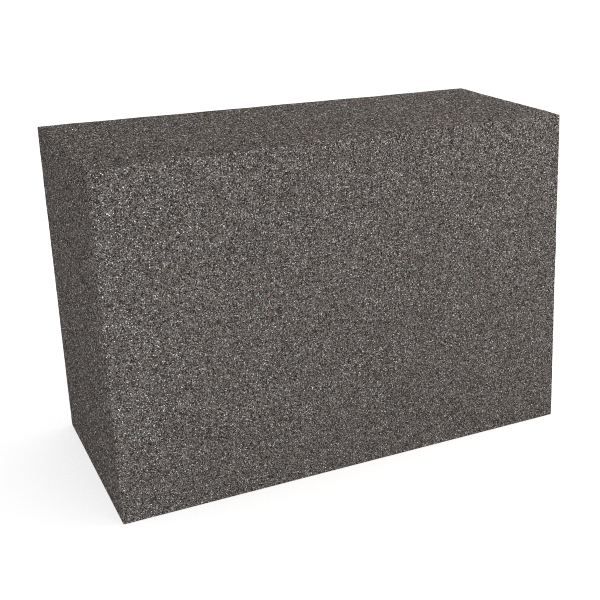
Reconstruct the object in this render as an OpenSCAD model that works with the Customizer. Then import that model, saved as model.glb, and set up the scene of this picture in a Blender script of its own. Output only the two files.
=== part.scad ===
// Foam block: one solid cut from a slab of charcoal open-cell polyurethane foam.
// The origin is the middle of the bottom face. X is the length, Y the depth and
// Z the height, and the front face looks along -Y.

/* [Block] */
// Length of the block, left end to right end
block_w = 300; // [100:1:600]
// Depth of the block, front face to back face
block_d = 132; // [50:1:300]
// Height of the block, bottom face to top face
block_h = 208; // [80:1:400]

/* [Cut edges] */
// Radius of the slightly soft edge where two cut faces meet
edge_r = 0.8; // [0.4:0.1:4]

/* [Hidden] */
// Colour of the cut foam
foam_colour = "#605b59";
$fn = 32;

// A rectangle with a soft corner, centred on the origin
module cut_section(across, up) {
    square([across - 2 * edge_r, up], center = true);
    square([across, up - 2 * edge_r], center = true);
    for (x = [-1, 1], y = [-1, 1])
        translate([x * (across / 2 - edge_r), y * (up / 2 - edge_r)])
            circle(r = edge_r);
}

// The block is what its three sections share: the plan swept up, the front
// view swept from front to back, and the end view swept from left to right
module foam_block() {
    color(foam_colour)
        translate([0, 0, block_h / 2])
            intersection() {
                linear_extrude(height = block_h, center = true)
                    cut_section(block_w, block_d);
                rotate([90, 0, 0])
                    linear_extrude(height = block_d, center = true)
                        cut_section(block_w, block_h);
                rotate([90, 0, 90])
                    linear_extrude(height = block_w, center = true)
                        cut_section(block_d, block_h);
            }
}

foam_block();
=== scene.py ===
"""A foam block: one solid cut from a slab of charcoal open-cell polyurethane foam."""
import itertools
import math

import bpy
from mathutils import Matrix, Vector, noise


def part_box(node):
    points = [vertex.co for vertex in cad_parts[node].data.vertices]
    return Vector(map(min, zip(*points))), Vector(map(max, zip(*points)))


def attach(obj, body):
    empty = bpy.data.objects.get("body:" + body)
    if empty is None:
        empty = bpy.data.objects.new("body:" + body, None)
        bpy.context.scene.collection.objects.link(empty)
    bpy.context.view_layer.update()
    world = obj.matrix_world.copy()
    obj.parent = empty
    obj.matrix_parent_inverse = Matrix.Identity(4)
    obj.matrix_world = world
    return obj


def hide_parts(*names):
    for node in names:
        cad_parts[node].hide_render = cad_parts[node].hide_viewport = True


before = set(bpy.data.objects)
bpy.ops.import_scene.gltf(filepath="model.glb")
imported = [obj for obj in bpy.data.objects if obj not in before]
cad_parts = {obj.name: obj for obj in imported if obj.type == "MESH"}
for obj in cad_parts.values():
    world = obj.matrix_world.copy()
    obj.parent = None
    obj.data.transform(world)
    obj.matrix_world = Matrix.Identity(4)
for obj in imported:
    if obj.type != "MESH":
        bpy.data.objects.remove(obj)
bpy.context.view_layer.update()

# ---------------------------------------------------------------- sizes, in metres

MM = 0.001
MM_PER_M = 1000.0
LOW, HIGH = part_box("foam_block")
SIZE = HIGH - LOW
CENTRE = (LOW + HIGH) / 2

# The cut edges: foam springs away from the blade, so they are slightly soft.
EDGE_RADIUS = 0.8 * MM
EDGE_STEPS = 3
# A cut line just inside each soft edge keeps the flat faces flat up to it.
EDGE_HOLD = 0.3 * MM
# Spacing of the surface mesh over the faces.
FACE_PITCH = 1.8 * MM

# A blade cuts foam a few millimetres out of square. For each corner (right, back
# and top are 1), how far it lies from the square block, in mm. The base stays flat.
OUT_OF_SQUARE = {
    (0, 0, 0): (0.5, -3.0, 0.0),
    (1, 0, 0): (2.5, 0.5, 0.0),
    (0, 1, 0): (-1.5, 2.5, 0.0),
    (1, 1, 0): (0.0, 0.0, 0.0),
    (0, 0, 1): (1.0, 0.0, 1.0),
    (1, 0, 1): (-5.0, 3.0, -0.5),
    (0, 1, 1): (-1.0, 0.5, 0.5),
    (1, 1, 1): (3.5, -2.5, -2.5),
}

# The cut faces are not dead flat: (width of the swell, height of it), in mm.
SWELLS = ((22.0, 0.16), (7.0, 0.09))
# The swells fade out over this height above the base, which lies flat.
SWELL_FADE = 4 * MM


# ---------------------------------------------------------------- helpers


def linear(hex_colour):
    """An sRGB hex colour as linear red, green, blue and alpha."""
    channels = [int(hex_colour[i : i + 2], 16) / 255 for i in (1, 3, 5)]
    return [c / 12.92 if c <= 0.04045 else ((c + 0.055) / 1.055) ** 2.4 for c in channels] + [1.0]


def add_node(tree, kind, inputs=None, **settings):
    """Add one node, set it up, and give each of its inputs a value or a link."""
    node = tree.nodes.new(kind)
    for name, value in settings.items():
        setattr(node, name, value)
    for name, value in (inputs or {}).items():
        if isinstance(value, bpy.types.NodeSocket):
            tree.links.new(value, node.inputs[name])
        else:
            node.inputs[name].default_value = value
    return node


def link_object(name, data):
    """Put a new object with this data in the scene."""
    thing = bpy.data.objects.new(name, data)
    bpy.context.scene.collection.objects.link(thing)
    return thing


# ---------------------------------------------------------------- the block's mesh


def cut_lines(low, high):
    """Where the mesh is divided across one side: fine over the soft edges, even between."""
    near = [EDGE_RADIUS * step / EDGE_STEPS for step in range(EDGE_STEPS + 1)]
    near.append(EDGE_RADIUS + EDGE_HOLD)
    first, last = low + near[-1], high - near[-1]
    count = round((last - first) / FACE_PITCH)
    between = [first + (last - first) * step / count for step in range(1, count)]
    return [low + n for n in near] + between + [high - n for n in reversed(near)]


def soften(point):
    """Bring a point of the sharp box in onto the rounded edges and corners."""
    core = Vector(min(max(point[a], LOW[a] + EDGE_RADIUS), HIGH[a] - EDGE_RADIUS) for a in range(3))
    outward = (point - core).normalized()
    return core + outward * EDGE_RADIUS, outward


def out_of_square(point):
    """How far the blade's wander moves a point, blended between the eight corners."""
    share = [(point[a] - LOW[a]) / SIZE[a] for a in range(3)]
    move = Vector((0, 0, 0))
    for corner, offset in OUT_OF_SQUARE.items():
        weight = math.prod(s if c else 1 - s for s, c in zip(share, corner))
        move += Vector(offset) * (weight * MM)
    return move


def swell(point, outward):
    """Shallow rise and fall of the cut face, which dies away towards the base."""
    height = 0.0
    for width, depth in SWELLS:
        height += depth * MM * noise.noise(point * (MM_PER_M / width))
    settle = min(1.0, (point.z - LOW.z) / SWELL_FADE)
    return outward * height * settle


def place_point(sharp):
    """A point of the finished block, from its place on the sharp, square box."""
    point, outward = soften(sharp)
    return point + out_of_square(point) + swell(point, outward)


# The six faces for the flat layout of the surface: fixed axis, its side, the axis laid
# along the layout's width and the one along its height, and the place of the low corner
# in mm. Two rows: front, back and top stand on end; both ends and the base lie below.
GAP = 4.0
W, D, H = (s * MM_PER_M for s in SIZE)
ROW = H + 2 * GAP
LAYOUT = {
    (1, 0): (2, 0, GAP, ROW),
    (1, 1): (2, 0, 2 * GAP + H, ROW),
    (2, 1): (1, 0, 3 * GAP + 2 * H, ROW),
    (0, 0): (1, 2, GAP, GAP),
    (0, 1): (1, 2, 2 * GAP + D, GAP),
    (2, 0): (0, 1, 3 * GAP + 2 * D, GAP),
}
SHEET = max(4 * GAP + 2 * H + D, 4 * GAP + 2 * D + W, ROW + W + GAP)


def block_mesh():
    """The block's surface as one closed mesh of quads, with its faces laid out flat."""
    lines = [cut_lines(LOW[a], HIGH[a]) for a in range(3)]
    last = [len(line) - 1 for line in lines]
    number, points, quads, layout = {}, [], [], []

    def vertex(index):
        if index not in number:
            number[index] = len(points)
            points.append(place_point(Vector(lines[a][index[a]] for a in range(3))))
        return number[index]

    for (fixed, side), (across, up, start_x, start_y) in LAYOUT.items():
        for i, j in itertools.product(range(last[across]), range(last[up])):
            corners = []
            for di, dj in ((0, 0), (1, 0), (1, 1), (0, 1)):
                index = [0, 0, 0]
                index[fixed] = side * last[fixed]
                index[across] = i + di
                index[up] = j + dj
                corners.append(tuple(index))
            faces_out = ((across - fixed) % 3 == 1) == (side == 1)
            if not faces_out:
                corners.reverse()
            quads.append([vertex(c) for c in corners])
            for c in corners:
                x = start_x + (lines[across][c[across]] - LOW[across]) * MM_PER_M
                y = start_y + (lines[up][c[up]] - LOW[up]) * MM_PER_M
                layout.extend((x / SHEET, y / SHEET))

    mesh = bpy.data.meshes.new("foam_block_surface")
    mesh.from_pydata(points, [], quads)
    mesh.uv_layers.new(name="OFBake").data.foreach_set("uv", layout)
    mesh.shade_smooth()
    mesh.validate()
    return mesh


# ---------------------------------------------------------------- materials

# Width of a foam cell: fine foam, with about 55 cells to the inch.
CELL_MM = 0.45
# Cells are longer the way the foam rose, which here is from front to back.
RISE_STRETCH = 2.0
# Shades of the cells, by the share of cells that are darker: painted shade for the open
# pores, then the own colour of the walls and struts around them, then painted
# highlights for the few walls that catch the light.
CELL_TONES_PAINTED_SHADE_AND_HIGHLIGHT = ((0.0, "#0e0b0a"), (0.48, "#39312c"), (0.96, "#958d89"), (1.0, "#ecf0f4"))
# Each cell also leans a little to one side of grey: a painted tint that stands in for the
# colour a thin film gives the light it reflects, somewhere on the ring from warm through
# green, cool and pink back to warm.
TINTS = ((0.0, "#faf2e8"), (0.25, "#edfbed"), (0.5, "#e8f2fa"), (0.75, "#f6e8f6"), (1.0, "#faf2e8"))
# The share of cells that keep a clear window, and how far a window leans at random.
WINDOW_SHARE = 0.6
WINDOW_LEAN = 1.3
# The rims of the cells hide their windows as the face turns away from the eye.
RIM_HIDING = 2.0
# The walls and struts are matt and barely shine; a window is a smooth plastic film.
WALL_ROUGHNESS = 0.9
WALL_SHINE = 0.03
WINDOW_ROUGHNESS = 0.11
WINDOW_IOR = 1.6


def cut_polyurethane_foam():
    """Charcoal open-cell polyurethane foam, cut with a blade.

    It gives the eye a dull, slightly warm dark grey made of fine grain: open cells
    darkened by painted shade, lighter walls between them, a few painted highlights,
    and here and there a cell window that glints in the lamps.
    """
    material = bpy.data.materials.new("charcoal_polyurethane_foam")
    material.use_nodes = True
    tree = material.node_tree
    tree.nodes.clear()
    place = add_node(tree, "ShaderNodeTexCoord").outputs["Object"]
    in_mm = add_node(
        tree,
        "ShaderNodeVectorMath",
        {0: place, 1: (MM_PER_M, MM_PER_M / RISE_STRETCH, MM_PER_M)},
        operation="MULTIPLY",
    )
    cells = add_node(
        tree,
        "ShaderNodeTexVoronoi",
        {"Vector": in_mm.outputs[0], "Scale": 1 / CELL_MM},
        feature="F1",
    ).outputs

    # Three lots are drawn for each cell: its shade, whether it has a window, and its tint.
    draw = add_node(tree, "ShaderNodeTexWhiteNoise", {"Vector": cells["Position"]})
    lot = add_node(tree, "ShaderNodeSeparateColor", {0: draw.outputs["Color"]}).outputs
    # The first lot picks each cell's tone: painted shade in the open pores, the walls' own colour,
    # or a painted highlight on a few walls.
    shade = add_node(tree, "ShaderNodeValToRGB", {0: lot[0]})
    tint = add_node(tree, "ShaderNodeValToRGB", {0: lot[2]})
    for ramp, colours in ((shade.color_ramp, CELL_TONES_PAINTED_SHADE_AND_HIGHLIGHT), (tint.color_ramp, TINTS)):
        ramp.elements[0].color = linear(colours[0][1])
        ramp.elements[1].color = linear(colours[-1][1])
        for share, hex_colour in colours[1:-1]:
            ramp.elements.new(share).color = linear(hex_colour)
    # The base colour so holds painted pore shade, painted highlights and a painted thin-film tint.
    # A colour Mix node has its factor at socket 0 and its two colours at 6 and 7.
    colour = add_node(
        tree,
        "ShaderNodeMix",
        {0: 1.0, 6: shade.outputs[0], 7: tint.outputs[0]},
        data_type="RGBA",
        blend_type="MULTIPLY",
    )

    # Every cell's wall faces its own way, so that a lamp makes only some windows glint.
    # The draw runs from 0 to 1 on each axis, so a half comes off it to lean both ways.
    draw_lean = add_node(
        tree,
        "ShaderNodeVectorMath",
        {0: cells["Color"], 1: (0.5, 0.5, 0.5)},
        operation="SUBTRACT",
    )
    lean = add_node(
        tree,
        "ShaderNodeVectorMath",
        {0: draw_lean.outputs[0], "Scale": WINDOW_LEAN},
        operation="SCALE",
    )
    cut_face = add_node(tree, "ShaderNodeNewGeometry").outputs["Normal"]
    leaning = add_node(
        tree, "ShaderNodeVectorMath", {0: cut_face, 1: lean.outputs[0]}, operation="ADD"
    )
    facing = add_node(
        tree, "ShaderNodeVectorMath", {0: leaning.outputs[0]}, operation="NORMALIZE"
    )

    # Where a cell has a window, it is as clear as the rims around it let it be seen.
    window = add_node(
        tree, "ShaderNodeMath", {0: lot[1], 1: 1.0 - WINDOW_SHARE}, operation="GREATER_THAN"
    )
    turned_away = add_node(tree, "ShaderNodeLayerWeight").outputs["Facing"]
    towards = add_node(tree, "ShaderNodeMath", {0: 1.0, 1: turned_away}, operation="SUBTRACT")
    open_to_view = add_node(
        tree, "ShaderNodeMath", {0: towards.outputs[0], 1: RIM_HIDING}, operation="POWER"
    )
    clear_window = add_node(
        tree,
        "ShaderNodeMath",
        {0: window.outputs[0], 1: open_to_view.outputs[0]},
        operation="MULTIPLY",
    )

    foam = add_node(
        tree,
        "ShaderNodeBsdfPrincipled",
        {
            "Base Color": colour.outputs[2],
            "Roughness": WALL_ROUGHNESS,
            "Normal": facing.outputs[0],
            "Specular IOR Level": WALL_SHINE,
            "Coat Weight": clear_window.outputs[0],
            "Coat Roughness": WINDOW_ROUGHNESS,
            "Coat IOR": WINDOW_IOR,
            "Coat Normal": facing.outputs[0],
        },
    )
    add_node(tree, "ShaderNodeOutputMaterial", {"Surface": foam.outputs[0]})
    return material


# How much the board is lifted towards white where it is looked at, and nowhere else.
BOARD_LIFT = 0.5


def pale_matt_board():
    """Pale matt board for the floor.

    It gives the eye plain white that runs into the surround, apart from the block's
    soft shadow. The lift isn't light: the block isn't lit by it.
    """
    material = bpy.data.materials.new("pale_matt_board")
    material.use_nodes = True
    tree = material.node_tree
    tree.nodes.clear()
    board = add_node(tree, "ShaderNodeBsdfDiffuse", {"Color": linear("#c9c9c9")})
    # 1 where the board is looked at straight, in a reflection or through glass.
    path = add_node(tree, "ShaderNodeLightPath").outputs
    in_sight = add_node(
        tree,
        "ShaderNodeMath",
        {0: path["Is Camera Ray"], 1: path["Is Glossy Ray"]},
        operation="MAXIMUM",
    )
    seen = add_node(
        tree,
        "ShaderNodeMath",
        {0: in_sight.outputs[0], 1: path["Is Transmission Ray"]},
        operation="MAXIMUM",
    )
    lift = add_node(
        tree, "ShaderNodeMath", {0: seen.outputs[0], 1: BOARD_LIFT}, operation="MULTIPLY"
    )
    glow = add_node(tree, "ShaderNodeEmission", {"Strength": lift.outputs[0]})
    both = add_node(tree, "ShaderNodeAddShader", {0: board.outputs[0], 1: glow.outputs[0]})
    add_node(tree, "ShaderNodeOutputMaterial", {"Surface": both.outputs[0]})
    return material


# ---------------------------------------------------------------- the studio


# Half the side of the floor, in metres.
FLOOR_REACH = 4.0


def white_surround():
    """An even white surround, at the level at which a colour renders as it is written."""
    world = bpy.data.worlds.new("white_surround")
    world.use_nodes = True
    tree = world.node_tree
    tree.nodes.clear()
    surround = add_node(tree, "ShaderNodeBackground", {"Color": linear("#ffffff")})
    add_node(tree, "ShaderNodeOutputWorld", {"Surface": surround.outputs[0]})
    bpy.context.scene.world = world


def direction(turn, rise):
    """The way from the block to something turn degrees round from its front and rise up."""
    turn, rise = math.radians(turn), math.radians(rise)
    return Vector(
        (math.sin(turn) * math.cos(rise), -math.cos(turn) * math.cos(rise), math.sin(rise))
    )


def lamp_panel(name, turn, rise, distance, side, power, colour):
    """A square lamp panel that faces the block: its angles in degrees, then metres and watts."""
    lamp = bpy.data.lights.new(name, "AREA")
    lamp.shape = "SQUARE"
    lamp.size = side
    lamp.energy = power
    lamp.color = linear(colour)[:3]
    panel = link_object(name, lamp)
    way = direction(turn, rise)
    panel.location = CENTRE + way * distance
    panel.rotation_mode = "QUATERNION"
    panel.rotation_quaternion = way.to_track_quat("Z", "Y")


def studio():
    """Plain pale floor, white surround, a small cool key at the left and a soft warm side light."""
    sheet = bpy.data.meshes.new("studio_floor")
    corners = ((-1, -1), (1, -1), (1, 1), (-1, 1))
    points = [(x * FLOOR_REACH, y * FLOOR_REACH, 0.0) for x, y in corners]
    sheet.from_pydata(points, [], [(0, 1, 2, 3)])
    sheet.materials.append(pale_matt_board())
    link_object("studio_floor", sheet)
    white_surround()
    lamp_panel("key", turn=-44, rise=-2, distance=0.4, side=0.05, power=0.22, colour="#f3f9ff")
    lamp_panel("side", turn=78, rise=22, distance=0.8, side=0.5, power=4.7, colour="#fff8f0")


# ---------------------------------------------------------------- the camera

# The camera stands in front of the block, round towards its left end and above it.
CAMERA_TURN = -22.88
CAMERA_RISE = 21.08
CAMERA_ROLL = -1.63
CAMERA_DISTANCE = 0.6559
# The point it aims at, counted from the block's middle to the right and up in the view.
CAMERA_AIM = (-4.84 * MM, -13.74 * MM)
CAMERA_LENS_MM = 60.17
SENSOR_MM = 36.0
# Width of the film's filter: a narrow one keeps the grain crisp.
FILTER_WIDTH = 1.1


def camera():
    """The view of the block."""
    data = bpy.data.cameras.new("view")
    data.lens = CAMERA_LENS_MM
    data.sensor_width = SENSOR_MM
    view = link_object("view", data)
    back = direction(CAMERA_TURN, CAMERA_RISE)
    right = Vector((0, 0, 1)).cross(back).normalized()
    up = back.cross(right)
    turned = Matrix.Rotation(math.radians(CAMERA_ROLL), 3, back)
    right, up = turned @ right, turned @ up
    view.location = CENTRE + back * CAMERA_DISTANCE + right * CAMERA_AIM[0] + up * CAMERA_AIM[1]
    view.rotation_mode = "QUATERNION"
    view.rotation_quaternion = Matrix((right, up, back)).transposed().to_quaternion()
    bpy.context.scene.camera = view


# ---------------------------------------------------------------- put together

camera()
block = link_object("foam_block_cut", block_mesh())
block.data.materials.append(cut_polyurethane_foam())
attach(block, "root")
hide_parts("foam_block")
studio()
bpy.context.scene.view_settings.view_transform = "Standard"
# The foam's grain is as fine as a render's noise, so nothing may smooth it away.
bpy.context.scene.cycles.use_denoising = False
bpy.context.scene.cycles.filter_width = FILTER_WIDTH
